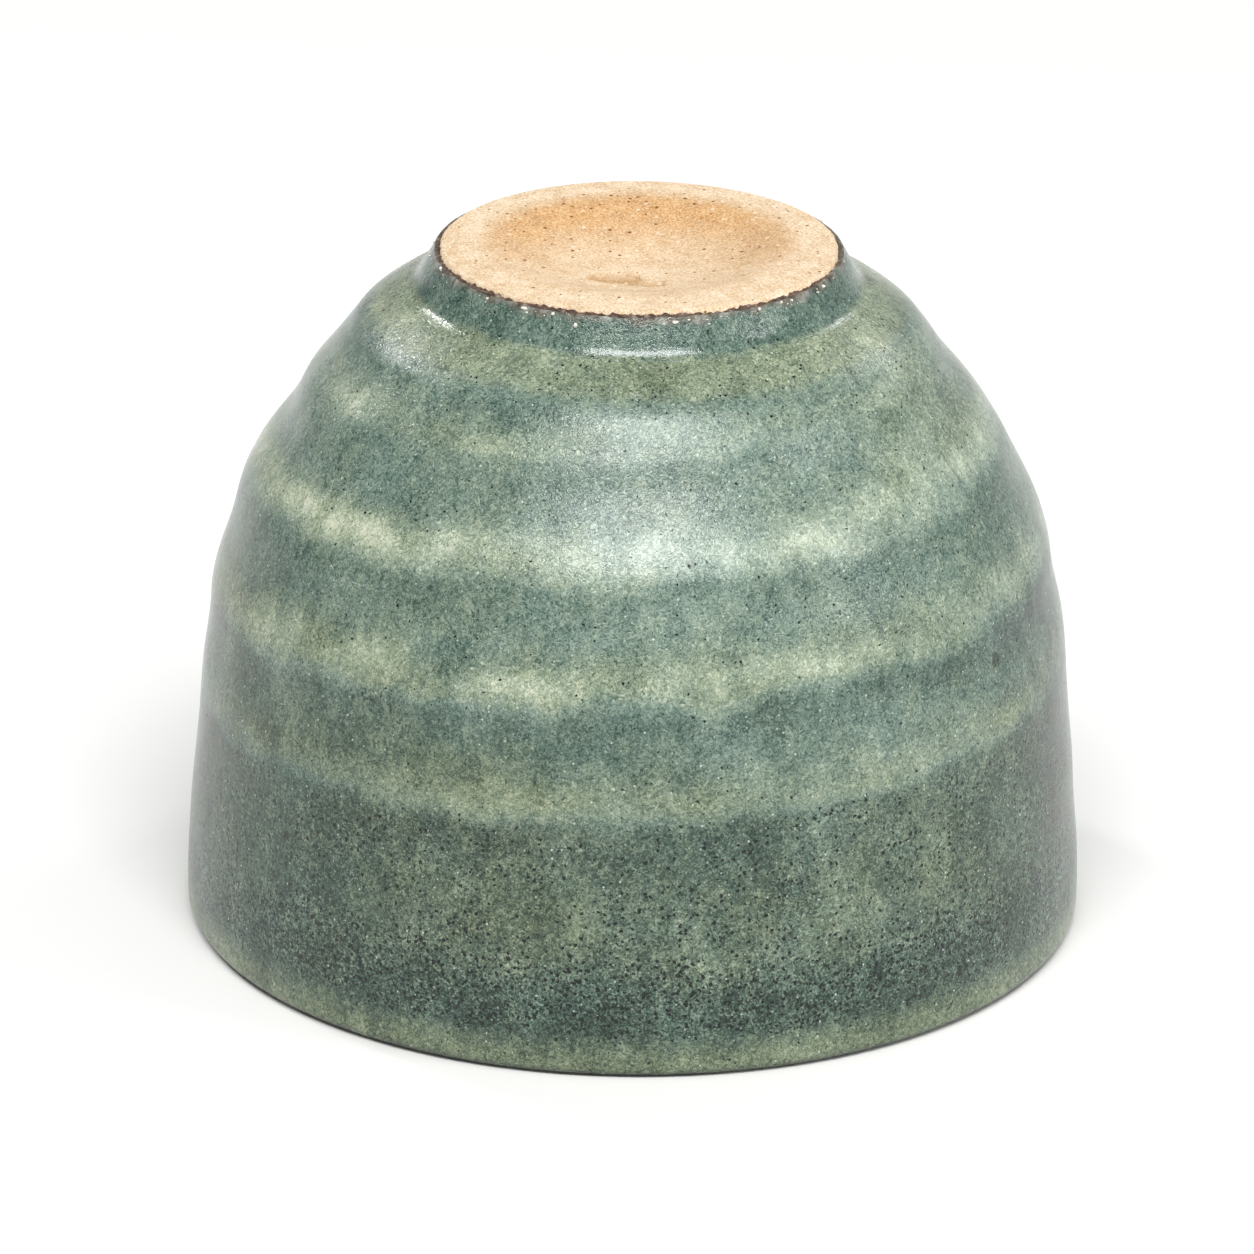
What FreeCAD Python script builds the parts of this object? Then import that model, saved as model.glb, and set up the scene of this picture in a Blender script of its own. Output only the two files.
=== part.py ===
import FreeCAD, Part
import math
import os

# A small wheel-thrown stoneware cup, stored mouth down: it stands on its lip with its foot on top.
# All lengths are in millimetres. +Z is up, and the origin is the centre of the circle that the lip
# stands on. Every piece is round about the Z axis, so each one is a half section of (radius, height)
# places, turned through one full circle.

# The cup as a whole.
cup_height = 52.5
widest_radius = 33.95

# The lip, a full round that is thinner than the wall, and the band of thin glaze over it.
lip_thickness = 2.2
lip_band_height = 3.0

# The thrown wall where the bowl is widest, and the floor over the well, both with their glaze.
wall_thickness = 4.05
floor_thickness = 4.8

# The trimmed foot: a flat bare ring round a shallow dished well, on a leaning flank.
foot_radius = 14.75
foot_height = 2.15
foot_lean = 1.2
foot_bevel = 0.3
ring_width = 2.6
well_depth = 1.8
well_roll_radius = 9.0
neck_fillet_radius = 3.0

# The fired coats: thin over the throwing ridges, thick in the grooves, and thinnest on the lip.
ridge_coat = 0.3
groove_coat = 0.5
lip_coat = 0.22
inside_coat = 0.35

# The dark line where the glaze thins out to nothing, just short of the bare ring.
edge_line_height = 0.5
edge_line_coat = 0.25

# The outside of the wall, from the lip band up to the shoulder under the foot: where it starts, then
# one row for each arc, with the arc's middle and its end. A middle is the top of a throwing ridge or
# the bottom of a finger groove, which sets the coat over it. The first number of each pair is a share
# of the neck's height, the second a share of the step from the neck's radius to the widest radius.
wall_start_shares = (0.060, 1.000)
wall_arc_shares = [
    ((0.202, 0.979), (0.338, 0.939), ridge_coat),
    ((0.397, 0.933), (0.457, 0.909), ridge_coat),
    ((0.502, 0.879), (0.546, 0.856), groove_coat),
    ((0.596, 0.831), (0.655, 0.771), ridge_coat),
    ((0.685, 0.726), (0.715, 0.687), groove_coat),
    ((0.753, 0.632), (0.794, 0.548), ridge_coat),
    ((0.862, 0.415), (0.930, 0.255), groove_coat),
    ((0.945, 0.214), (0.965, 0.138), ridge_coat),
]

# The lip is too small a round for its arc to show, and the clay under a coat is never seen, so these
# rounds are turned in straight steps, this many over the half circle or over the quarter circle.
lip_steps = 6
lip_clay_steps = 3
bowl_clay_steps = 4

# What follows from the sizes.
neck_height = cup_height - foot_height
neck_radius = foot_radius + foot_lean + edge_line_coat
wall_step = widest_radius - neck_radius
lip_round = lip_thickness / 2
bowl_radius = widest_radius - wall_thickness
bowl_top = cup_height - well_depth - floor_thickness
bowl_middle = bowl_top - bowl_radius
well_edge = foot_radius - ring_width
well_floor = cup_height - well_depth
full_turn_degrees = 360
half_turn = math.pi
quarter_turn = math.pi / 2
arc_halves = 2


def point(place):
    radius, height = place
    return FreeCAD.Vector(radius, 0, height)


def lines(places):
    """Straight edges from each place to the next."""
    return [Part.makeLine(point(a), point(b)) for a, b in zip(places, places[1:])]


def arcs(places):
    """Arcs through every three places, each starting where the last one ended."""
    threes = zip(places[0::2], places[1::2], places[2::2])
    return [Part.Arc(point(a), point(b), point(c)).toShape() for a, b, c in threes]


def turned(edges):
    """The solid that a closed half section sweeps out in one full turn about the Z axis."""
    section = Part.Face(Part.Wire(Part.sortEdges(edges)[0]))
    base = FreeCAD.Vector(0, 0, 0)
    upward = FreeCAD.Vector(0, 0, 1)
    solid = section.revolve(base, upward, full_turn_degrees)
    if solid.Volume < 0:
        solid.reverse()
    return solid


def heading(start, end):
    """The direction from one place to another, as an angle up from the radius axis."""
    return math.atan2(end[1] - start[1], end[0] - start[0])


def moved(place, angle, distance):
    return (place[0] + distance * math.cos(angle), place[1] + distance * math.sin(angle))


def round_places(centre, radius, first_angle, last_angle, steps):
    """Evenly spaced places on a round, one more than its steps."""
    step = (last_angle - first_angle) / steps
    return [moved(centre, first_angle + step * count, radius) for count in range(steps + 1)]


def under(before, here, after, coat):
    """The place in the clay that lies one coat's thickness under a rising outline."""
    return moved(here, heading(before, after) + quarter_turn, coat)


def fillet(before, corner, after, radius):
    """The start, middle and end of the arc that rounds the corner between two straight lines."""
    back = heading(corner, before)
    ahead = heading(corner, after)
    half_angle = math.remainder(ahead - back, math.tau) / 2
    reach = radius / abs(math.tan(half_angle))
    middle_reach = radius / abs(math.sin(half_angle)) - radius
    start = moved(corner, back, reach)
    middle = moved(corner, back + half_angle, middle_reach)
    end = moved(corner, ahead, reach)
    return [start, middle, end]


# The outside of the wall, as the glaze's outer face and as the clay under it.

def wall_place(shares):
    height_share, radius_share = shares
    return (neck_radius + wall_step * radius_share, neck_height * height_share)


wall_outline = [wall_place(wall_start_shares)]
wall_clay = []
for middle_shares, end_shares, coat in wall_arc_shares:
    arc_start = wall_outline[-1]
    arc_middle = wall_place(middle_shares)
    arc_end = wall_place(end_shares)
    wall_outline += [arc_middle, arc_end]
    wall_clay.append(under(arc_start, arc_middle, arc_end, coat))

band_outside = wall_outline[0]
band_clay_outside = under(band_outside, band_outside, wall_outline[1], ridge_coat)
shoulder = wall_outline[-1]


# The foot. Its clay flank leans in from the neck to the ring, and the glaze stands out from it.

def flank(height, coat):
    """The place at a height on the foot's flank, this far out from the clay."""
    lean = foot_lean * (cup_height - height) / foot_height
    return (foot_radius + lean + coat, height)


bevel_bottom = flank(cup_height - foot_bevel, 0)
bevel_top = (foot_radius - foot_bevel, cup_height)
edge_line_bottom = cup_height - foot_bevel - edge_line_height
glaze_end = flank(edge_line_bottom, edge_line_coat)
clay_glaze_end = flank(edge_line_bottom, 0)
neck_corner = flank(neck_height, edge_line_coat)
neck_fillet = fillet(shoulder, neck_corner, glaze_end, neck_fillet_radius)
neck_clay = under(*neck_fillet, groove_coat)
outside_clay = [band_clay_outside] + wall_clay + [neck_clay, clay_glaze_end]

# The well in the foot: a round roll off the ring, then one shallow dish, tangent to each other.
well_slope = 2 * math.atan(well_depth / well_edge)
dish_radius = well_edge / math.sin(well_slope) - well_roll_radius
roll_centre = (well_edge, cup_height - well_roll_radius)
dish_centre = (0, well_floor + dish_radius)
roll_end = quarter_turn + well_slope
dish_start = well_slope - quarter_turn
roll = round_places(roll_centre, well_roll_radius, quarter_turn, roll_end, arc_halves)
dish = round_places(dish_centre, dish_radius, dish_start, -quarter_turn, arc_halves)
well = roll + dish[1:]

# The lip's full round and the inside of the bowl: a tapered wall under a half ball.
lip_inside_radius = widest_radius - lip_thickness
lip_centre = (widest_radius - lip_round, lip_round)
lip_outline = round_places(lip_centre, lip_round, 0, -half_turn, lip_steps)
lip_clay = round_places(lip_centre, lip_round - lip_coat, 0, -half_turn, lip_clay_steps)
bowl_start = (bowl_radius, bowl_middle)
band_share = (lip_band_height - lip_round) / (bowl_middle - lip_round)
band_radius = lip_inside_radius + (bowl_radius - lip_inside_radius) * band_share
band_inside = (band_radius, lip_band_height)
band_clay_inside = (band_radius + inside_coat, lip_band_height)
band_clay = [band_clay_outside] + lip_clay + [band_clay_inside]


def inside_clay_places():
    """From the lip band up the wall, then round the half ball in steps that clear its coat."""
    clay_radius = bowl_radius + inside_coat
    step = quarter_turn / bowl_clay_steps
    corner_radius = clay_radius / math.cos(step / 2)
    corners = round_places((0, bowl_middle), corner_radius, step / 2, quarter_turn - step / 2,
                           bowl_clay_steps - 1)
    wall = [band_clay_inside, (clay_radius, bowl_middle)]
    return wall + corners + [(0, bowl_top + inside_coat)]


inside_clay = inside_clay_places()


# The pieces.

def clay_body():
    """The fired stoneware: wall, floor and foot, thrown and trimmed from one lump."""
    edges = lines(outside_clay + [bevel_bottom, bevel_top, (well_edge, cup_height)])
    edges += arcs(well)
    edges += lines([(0, well_floor)] + inside_clay[::-1])
    edges += lines(band_clay)
    return turned(edges)


def outer_glaze():
    """The coat outside, over the ridges and down into the neck, up to the dark line at the foot."""
    edges = arcs(wall_outline)
    edges += lines([shoulder, neck_fillet[0]])
    edges += arcs(neck_fillet)
    edges += lines([neck_fillet[-1], glaze_end, clay_glaze_end])
    edges += lines(outside_clay)
    edges += lines([band_clay_outside, band_outside])
    return turned(edges)


def lip_glaze():
    """The thin coat that wraps the lip and joins the outside coat to the inside one."""
    edges = lines([band_clay_outside, band_outside] + lip_outline + [band_inside, band_clay_inside])
    edges += lines(band_clay)
    return turned(edges)


def inner_glaze():
    """The coat inside the bowl."""
    edges = lines([band_clay_inside, band_inside, bowl_start])
    edges += arcs(round_places((0, bowl_middle), bowl_radius, 0, quarter_turn, arc_halves))
    edges += lines([(0, bowl_top)] + inside_clay[::-1])
    return turned(edges)


def foot_edge_line():
    """The dark iron-bearing glaze that ends the coat, thinning out to nothing on the flank."""
    edges = lines([glaze_end, clay_glaze_end, bevel_bottom, glaze_end])
    return turned(edges)


os.makedirs("parts", exist_ok=True)
for piece in (clay_body, outer_glaze, lip_glaze, inner_glaze, foot_edge_line):
    solid = piece()
    solid.exportStep("parts/" + piece.__name__ + ".step")
    print(piece.__name__, "volume", round(solid.Volume), "valid", solid.isValid())
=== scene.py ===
import math

import bmesh
import bpy
import numpy as np
from mathutils import Matrix, Vector, noise


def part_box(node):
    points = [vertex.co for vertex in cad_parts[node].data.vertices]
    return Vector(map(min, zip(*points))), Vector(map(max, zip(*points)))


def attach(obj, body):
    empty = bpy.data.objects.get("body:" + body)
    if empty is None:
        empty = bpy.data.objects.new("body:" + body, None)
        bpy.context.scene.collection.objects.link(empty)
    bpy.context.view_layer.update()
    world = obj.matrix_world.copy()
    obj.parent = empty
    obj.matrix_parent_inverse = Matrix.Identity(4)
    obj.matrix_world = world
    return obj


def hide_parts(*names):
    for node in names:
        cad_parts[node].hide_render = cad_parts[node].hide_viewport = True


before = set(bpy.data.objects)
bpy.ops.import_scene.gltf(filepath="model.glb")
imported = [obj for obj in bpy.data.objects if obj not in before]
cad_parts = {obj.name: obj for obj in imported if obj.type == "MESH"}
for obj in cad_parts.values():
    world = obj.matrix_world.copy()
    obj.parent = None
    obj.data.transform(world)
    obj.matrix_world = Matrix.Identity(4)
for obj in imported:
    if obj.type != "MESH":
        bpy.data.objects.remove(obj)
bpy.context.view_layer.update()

# %% [markdown]
# # A small thrown stoneware cup
# The cup stands upside down, on its lip, so its bare foot is on top. It was thrown on a wheel from
# buff clay, trimmed at the foot, dipped in an ash glaze and fired.
# The solids under this scene give its exact size. They have level rings and no grain. This script
# lays a finer mesh over each of them, in the same place, and gives every surface its finish.
# All places below are in metres, and the lip's circle is centred on the origin.

# %% What the frame says
MM = 0.001
foot_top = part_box("clay_body")[1].z
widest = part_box("outer_glaze")[1].x
lip_band_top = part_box("lip_glaze")[1].z
bowl_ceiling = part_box("inner_glaze")[1].z
print("cup", round(2 * widest / MM, 1), "mm across,", round(foot_top / MM, 1), "mm high")

# %% [markdown]
# ## The camera
# The photograph was taken from a little above, with a long lens: the foot's ellipse is open by a
# third of its width, and the lip's by a little more, which fixes both the height and the distance.
# A long lens flattens the cup, so it is set as a focal length and not by moving closer.

# %% Camera
lens_mm = 235.5
camera_distance = 619.8 * MM
camera_rise = math.radians(21.845)
camera_roll = math.radians(0.577)
camera_target = Vector((-0.61 * MM, 0, 21.9 * MM))

camera_data = bpy.data.cameras.new("photo_camera")
camera_data.lens = lens_mm
camera_data.sensor_width = 36
camera_data.sensor_fit = "HORIZONTAL"
camera_data.clip_start = 0.01
camera = bpy.data.objects.new("photo_camera", camera_data)
backward = Vector((0, -math.cos(camera_rise), math.sin(camera_rise)))
tilt = Matrix.Rotation(math.pi / 2 - camera_rise, 4, "X") @ Matrix.Rotation(camera_roll, 4, "Z")
camera.matrix_world = Matrix.Translation(camera_target + backward * camera_distance) @ tilt
bpy.context.scene.collection.objects.link(camera)
bpy.context.scene.camera = camera
print("camera at", [round(place, 3) for place in camera.matrix_world.translation])

# %% [markdown]
# ## Nodes and colours
# Every finish here is a small tree of shader nodes. One helper adds a node with its settings and
# links, and a few more short ones say the steps that come back often. They all add to the tree that
# is being built. Colours are written as the sRGB hex values that a picture shows, and one function
# turns them into the linear values that light is worked out in.

# %% Helpers for nodes and for colours
MIX_SHARE, MIX_FIRST, MIX_SECOND, MIX_RESULT = 0, 6, 7, 2


def colour(hex_value):
    """The linear colour of an sRGB hex value."""
    shares = [int(hex_value[i:i + 2], 16) / 255 for i in (0, 2, 4)]
    linear = [s / 12.92 if s <= 0.04045 else ((s + 0.055) / 1.055) ** 2.4 for s in shares]
    return (*linear, 1)


def node(tree, kind, inputs=None, stops=None, **settings):
    """Adds a node. An input is a value, or a socket of another node that is then linked to it."""
    made = tree.nodes.new("ShaderNode" + kind)
    for name, value in settings.items():
        setattr(made, name, value)
    for socket, value in (inputs or {}).items():
        if isinstance(value, bpy.types.NodeSocket):
            tree.links.new(value, made.inputs[socket])
        else:
            made.inputs[socket].default_value = value
    if stops:
        ramp = made.color_ramp.elements
        while len(ramp) < len(stops):
            ramp.new(1)
        for element, (place, shade) in zip(ramp, stops):
            element.position = place
            element.color = shade
    return made


def maths(operation, *values, clamp=False):
    """The result of one sum on numbers and sockets."""
    inputs = dict(enumerate(values))
    return node(tree, "Math", inputs, operation=operation, use_clamp=clamp).outputs[0]


def ranged(value, low, high, first=0, last=1, **settings):
    """A number that is first where the value is low and last where it is high."""
    inputs = {"Value": value, "From Min": low, "From Max": high, "To Min": first, "To Max": last}
    return node(tree, "MapRange", inputs, **settings).outputs[0]


def blend(share, first, second):
    """The first colour where the share is nought, and the second where it is one."""
    inputs = {MIX_SHARE: share, MIX_FIRST: first, MIX_SECOND: second}
    return node(tree, "Mix", inputs, data_type="RGBA").outputs[MIX_RESULT]


def shades(value, stops):
    """A colour for each level of a value, read off a ramp of hex colours."""
    ramp_stops = [(place, colour(hex_value)) for place, hex_value in stops]
    return node(tree, "ValToRGB", {"Fac": value}, stops=ramp_stops).outputs["Color"]


def painted(name):
    """The number that was painted on the mesh under this name."""
    return node(tree, "Attribute", attribute_name=name).outputs["Fac"]


def new_material(name):
    material = bpy.data.materials.new(name)
    material.use_nodes = True
    material.node_tree.nodes.clear()
    return material, material.node_tree


# %% [markdown]
# ## The floor and the light
# The cup stands on a white table that fills the picture, under a large even light. The table is
# plain matt card, pale enough to reach white in this light and to keep the soft shadow round the lip.

# %% The white table
table_reach = 3.0

table_mesh = bmesh.new()
bmesh.ops.create_grid(table_mesh, x_segments=1, y_segments=1, size=table_reach)
table_data = bpy.data.meshes.new("table")
table_mesh.to_mesh(table_data)
table_mesh.free()
table = bpy.data.objects.new("table", table_data)
bpy.context.scene.collection.objects.link(table)

white_card, tree = new_material("white_card")
card = node(tree, "BsdfPrincipled", {"Base Color": colour("e9e9e7"), "Roughness": 0.9})
node(tree, "OutputMaterial", {"Surface": card.outputs[0]})
table_data.materials.append(white_card)

# %% [markdown]
# The light is what a product studio gives: a room that is brighter at the right, overhead and in
# front than at the left, one long soft lamp above and in front, and three small ones, at the right
# and behind the cup at both sides. The long lamp makes the two broad gleams under the foot, and the
# small ones the gleams on the shoulders.

# %% The studio's light
left_wall = 0.16
right_wall = 0.45
front_gain = 0.14
ceiling_gain = 0.21

world = bpy.data.worlds.new("studio")
world.use_nodes = True
tree = world.node_tree
tree.nodes.clear()
direction = node(tree, "TexCoord").outputs["Generated"]
towards = node(tree, "SeparateXYZ", {"Vector": direction}).outputs
wall_light = ranged(towards["X"], -0.8, 0.8, left_wall, right_wall)
upward = ranged(towards["Z"], 0.2, 0.9, interpolation_type="SMOOTHSTEP")
frontward = ranged(towards["Y"], 0, -0.9, interpolation_type="SMOOTHSTEP")
strength = maths("MULTIPLY_ADD", upward, ceiling_gain, wall_light)
strength = maths("MULTIPLY_ADD", frontward, front_gain, strength)
walls = node(tree, "Background", {"Color": (1, 1, 1, 1), "Strength": strength})
node(tree, "OutputWorld", {"Surface": walls.outputs[0]})
bpy.context.scene.world = world


def soft_lamp(name, azimuth, elevation, width, height, watts):
    """A flat lamp a metre from the cup, facing it. Azimuth runs from the front to the right."""
    lamp = bpy.data.lights.new(name, "AREA")
    lamp.shape = "RECTANGLE"
    lamp.size = width
    lamp.size_y = height
    lamp.energy = watts
    turn, rise = math.radians(azimuth), math.radians(elevation)
    aim = Vector((math.sin(turn) * math.cos(rise), -math.cos(turn) * math.cos(rise), math.sin(rise)))
    facing = aim.to_track_quat("Z", "Y").to_matrix().to_4x4()
    placed = bpy.data.objects.new(name, lamp)
    placed.matrix_world = Matrix.Translation(camera_target + aim) @ facing
    bpy.context.scene.collection.objects.link(placed)


soft_lamp("front_lamp", 0, 56, 0.74, 0.26, 9.6)
soft_lamp("right_lamp", 69, 26, 0.20, 0.20, 1.9)
soft_lamp("left_back_lamp", -133, 31, 0.13, 0.13, 2.0)
soft_lamp("right_back_lamp", 133, 30, 0.17, 0.17, 0.9)
bpy.context.scene.view_settings.view_transform = "Standard"

# %% [markdown]
# ## The wall's outline
# A thrown wall is never a perfect turning. Its outline comes from a few places that were measured
# on both edges of the cup and joined by one smooth curve. They are shares of the cup's height and
# of its widest radius, from the lip upwards.

# %% The outline as a smooth curve
outline_shares = [
    (0.000, 0.9985), (0.040, 0.9995), (0.090, 0.9985), (0.190, 0.9886), (0.300, 0.9729),
    (0.400, 0.9596), (0.486, 0.9414), (0.562, 0.9141), (0.629, 0.8820), (0.686, 0.8411),
    (0.733, 0.7973), (0.781, 0.7481), (0.829, 0.6895), (0.867, 0.6460), (0.893, 0.6130),
    (0.912, 0.5740), (0.931, 0.5260), (0.940, 0.5010), (0.948, 0.4880), (0.956, 0.4795),
    (0.966, 0.4706), (0.978, 0.4603), (0.990, 0.4500), (1.000, 0.4406),
]


def smooth_through(places, at):
    """The smooth curve through (where, value) places, read at each of the given wheres."""
    where, value = np.array(places).T
    slope = np.gradient(value, where)
    span = np.clip(np.searchsorted(where, at, side="right") - 1, 0, len(where) - 2)
    width = where[span + 1] - where[span]
    share = np.clip((at - where[span]) / width, 0, 1)
    start = value[span] * (1 + 2 * share) * (1 - share) ** 2
    end = value[span + 1] * share ** 2 * (3 - 2 * share)
    leave = slope[span] * width * share * (1 - share) ** 2
    arrive = slope[span + 1] * width * share ** 2 * (share - 1)
    return start + end + leave + arrive


def bell(distance):
    """One at no distance, falling smoothly to nothing at about two."""
    return np.exp(-distance ** 2)


def step_up(at, low, high):
    """Nought below low, one above high, and a smooth rise between."""
    share = np.clip((at - low) / (high - low), 0, 1)
    return share ** 2 * (3 - 2 * share)


# %% [markdown]
# ## The throwing spiral
# The potter's finger climbs the wall as the wheel turns, so its ridge is one long spiral and not a
# stack of rings. The heights at which it crosses the front of the cup are measured. Between them
# the spiral rises evenly, to the right, and closes on itself behind the cup.
# A turn's section is a saw tooth. It leans gently up from each crest and drops in short under the
# next one, because the finger pushes up into the clay.

# %% The spiral and its section
front_crests = [(2.0, -2), (11.0, -1), (20.0, 0), (28.2, 1), (36.8, 2), (44.3, 3), (49.4, 4)]
crest_drop_share = 0.41
full_turn = 2 * math.pi


def spiral_turns(height):
    """How many turns of the spiral lie between the front of its first ridge and this height."""
    return smooth_through([(mm * MM, turn) for mm, turn in front_crests], height)


def saw_tooth(turns, drop_share):
    """One on each crest, falling slowly on the way up and rising again in the last share."""
    share = turns % 1
    down = np.cos(math.pi * share / (1 - drop_share)) / 2 + 0.5
    up = 0.5 - np.cos(math.pi * (share - 1 + drop_share) / drop_share) / 2
    return np.where(share < 1 - drop_share, down, up)


# %% [markdown]
# ## The wall with its unevenness
# The radius at any height and angle is the outline, plus the spiral's relief, less a few slow waves
# and the one dent at the left, where the finger dwelt. All of it stays inside the solid's box.

# %% The radius of the wall
ridge_relief = [(0, 0.02), (10, 0.05), (20, 0.08), (28, 0.27), (34, 0.23), (38, 0.19), (42, 0.17),
                (45, 0.09), (47.5, 0), (50, 0), (52.5, 0)]
front_relief = 1.6
wave_depth = 0.06 * MM
dent_height = 38.8 * MM
dent_tall = 2.1 * MM
dent_depth = 0.42 * MM
peel_size = 4.5 * MM
peel_depth = 0.035 * MM


def lumps(radius, height, angle, size, seed, tall=1):
    """Soft random lumps between about -1 and 1, of this size, at places on the cup."""
    across = radius * np.sin(angle)
    along = -radius * np.cos(angle)
    places = np.stack(np.broadcast_arrays(across, along, height / tall), -1).reshape(-1, 3) / size
    shift = Vector((seed, 2 * seed, 3 * seed))
    values = [noise.noise(Vector(place) + shift) for place in places]
    return np.array(values).reshape(np.broadcast(radius, height, angle).shape)


def wall_radius(height, angle):
    """The radius of the glaze's outside, in metres, at arrays of heights and angles."""
    height, angle = np.broadcast_arrays(height, angle)
    plain = smooth_through([(h * foot_top, r * widest) for h, r in outline_shares], height)
    turns = spiral_turns(height) - angle / full_turn
    relief = smooth_through([(mm * MM, rise * MM) for mm, rise in ridge_relief], height)
    in_front = bell(angle / math.radians(50)) * step_up(height, 32 * MM, 40 * MM)
    relief = relief * (1 + front_relief * in_front)
    above_lip = step_up(height, 2 * MM, 9 * MM) * step_up(-height, -50 * MM, -47 * MM)
    waves = np.sin(2 * angle + 0.7) + np.sin(3 * angle - height / (9 * MM)) - 2
    at_left = bell((angle + math.pi / 2) / math.radians(20))
    dent = at_left * bell((height - dent_height) / dent_tall)
    peel = lumps(plain, height, angle, peel_size, 3) - 1
    return (plain + relief * (saw_tooth(turns, crest_drop_share) - 0.5) * above_lip
            + wave_depth * 0.5 * waves * above_lip - dent_depth * dent
            + peel_depth * peel * above_lip)


# %% [markdown]
# ## From a section to a mesh
# Every piece of a thrown cup is a section that goes round the axis. The mesh is a grid: one row for
# each place on the section and one column for each step round. Plain revolving would be simpler,
# but then no ridge could climb and no edge could be ragged, so each row has its own radius and
# height in every column. A section that meets the axis is closed there with a point.

# %% Turning rows and columns into a mesh
columns = 720
turn = np.linspace(-math.pi, math.pi, columns, endpoint=False)[None, :]
sharp_edge = math.radians(40)


def thrown(name, radius, height, tip_heights=None):
    """The closed mesh of a section, given as radius and height arrays of rows by columns."""
    radius, height = np.broadcast_arrays(radius, height + 0 * turn)
    rows = len(radius)
    points = np.stack([radius * np.sin(turn), -radius * np.cos(turn), height], -1).reshape(-1, 3)
    grid = np.arange(rows * columns).reshape(rows, columns)
    if tip_heights is None:
        grid = np.vstack([grid, grid[:1]])
    beside = np.roll(grid, -1, axis=1)
    quads = np.stack([grid[:-1], beside[:-1], beside[1:], grid[1:]], -1).reshape(-1, 4).tolist()
    if tip_heights is not None:
        first, last = len(points), len(points) + 1
        points = np.vstack([points, [(0, 0, tip) for tip in tip_heights]])
        quads += [(first, int(b), int(a)) for a, b in zip(grid[0], beside[0])]
        quads += [(last, int(a), int(b)) for a, b in zip(grid[-1], beside[-1])]
    mesh = bpy.data.meshes.new(name)
    mesh.from_pydata(points.tolist(), [], quads)
    shell = bmesh.new()
    shell.from_mesh(mesh)
    bmesh.ops.recalc_face_normals(shell, faces=shell.faces)
    shell.to_mesh(mesh)
    shell.free()
    mesh.shade_smooth()
    mesh.set_sharp_from_angle(angle=sharp_edge)
    piece = bpy.data.objects.new(name, mesh)
    bpy.context.scene.collection.objects.link(piece)
    print(name, len(mesh.vertices), "points,", len(mesh.polygons), "faces")
    return piece


def paint(piece, name, values):
    """Stores one number for each point of a piece, which its material reads by name."""
    flat = np.broadcast_to(values, (values.shape[0], columns)).reshape(-1)
    spare = len(piece.data.vertices) - len(flat)
    flat = np.concatenate([flat, np.full(spare, flat[-1])])
    layer = piece.data.attributes.new(name, "FLOAT", "POINT")
    layer.data.foreach_set("value", flat.astype(np.float32))


def seat(piece, cad_node):
    """The piece stands for a solid of the frame and rides with the one body."""
    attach(piece, "root")
    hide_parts(cad_node)


# %% [markdown]
# ## How thick the glaze lies
# The colour of an ash glaze depends on how thick it lies and on how much ash is in it. It is dark
# where it pooled in a groove and pale where it ran thin over a ridge. It is blue-green where it is
# rich in glass, and olive where the ash was left behind. So two numbers for each point say how thin
# and how ashy the coat is, and the material turns them into a colour. Three more say how pitted the
# coat is, how wet and smooth it lies, and how burnt it is beside the bare foot. Painted light rides
# on the first two numbers: the upper wall is painted paler, as light from above makes it, the left
# and right sides and the lip's edge are painted darker as painted shade, and the front gleams and a
# pale patch at the left are painted paler as painted highlights.

# %% How thin and how ashy the bands are, and the painted light on them
band_strength = [
    (-2.0, 0.00, 0.0), (-1.0, 0.05, 0.1), (-0.5, 0.15, 0.3), (-0.2, 0.09, 0.3), (0.2, 0.09, 0.3),
    (0.5, 0.26, 0.5), (0.75, 0.22, 0.6), (1.00, 0.24, 0.6), (1.25, 0.22, 0.3), (1.5, 0.28, 0.5),
    (1.75, 0.26, 0.7), (2.0, 0.26, 0.25), (2.25, 0.22, 0.3), (2.5, 0.26, 0.4), (2.75, 0.08, 0.2),
    (3.0, 0.06, 0.2), (3.3, 0.06, 0.1), (3.6, 0.04, 0.0), (4.0, 0.0, 0.0),
]
band_foot = 0.10
band_top = 0.42
groove_pool = 0.24

# Soft ovals that raise and lower the coat's thinness and ash. Those marked below are painted light.
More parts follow.
